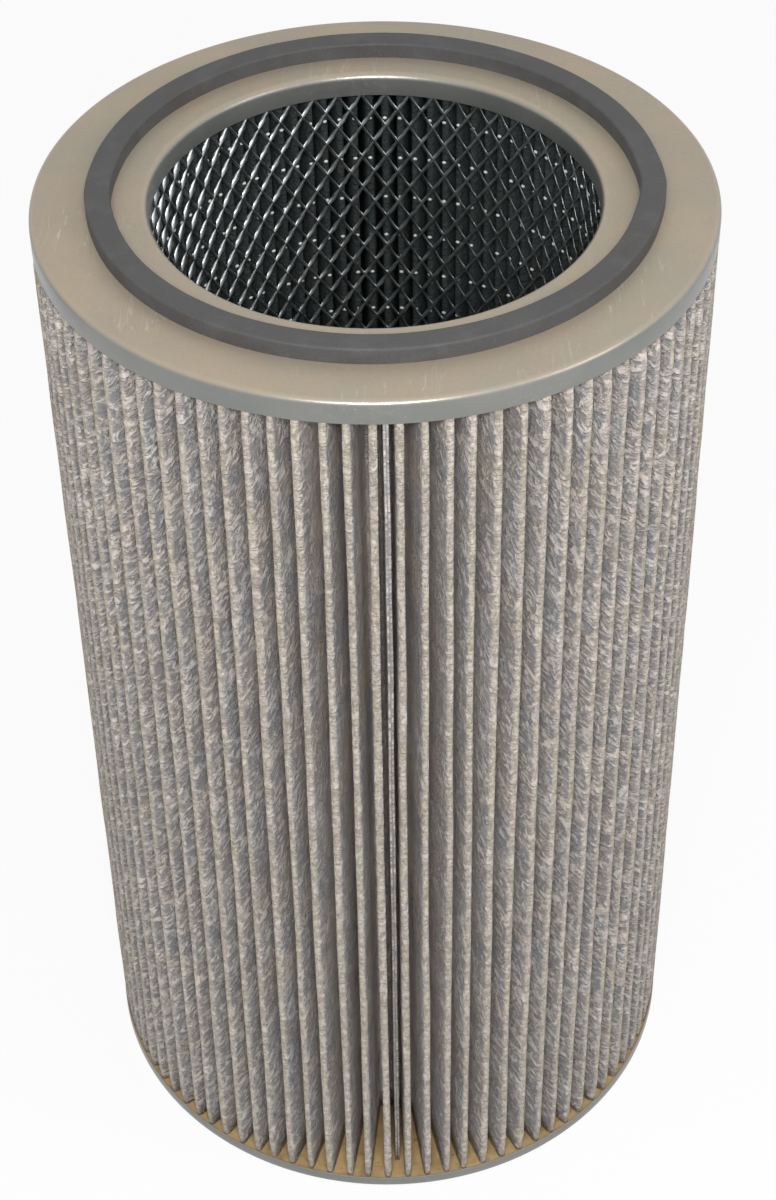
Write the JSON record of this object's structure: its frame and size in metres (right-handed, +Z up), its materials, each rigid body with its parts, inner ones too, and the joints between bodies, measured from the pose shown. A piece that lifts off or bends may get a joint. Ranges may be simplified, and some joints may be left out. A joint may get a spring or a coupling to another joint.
{
  "type": "pleated filter element",
  "caption": "Tall round filter cartridge: pleated felt between pressed steel end caps, a diamond-mesh core and a flat ring gasket on the open end.",
  "frame": {"origin": "centre of the closed end cap's underside, on the floor", "axes": "+Z up the cartridge's axis, from the closed base to the open end with the gasket; the media's seam is on the -Y side"},
  "size_m": [0.324, 0.324, 0.57],
  "materials": {
    "cap_steel": "satin zinc plate with a warm cast",
    "gasket_rubber": "matt closed-cell strip",
    "potting_resin": "cast amber adhesive",
    "media_felt": "mottled bonded felt",
    "seam_glue": "smooth hot-melt line",
    "core_steel": "dull dark plating",
    "bead_glue": "glossy hot-melt dots"
  },
  "bodies": {
    "root": {"top_end_cap": "cap_steel", "sealing_gasket": "gasket_rubber", "top_potting": "potting_resin", "pleated_media": "media_felt", "seam_adhesive": "seam_glue", "inner_core": "core_steel", "bottom_potting": "potting_resin", "bottom_end_cap": "cap_steel"}
  },
  "joints": []
}
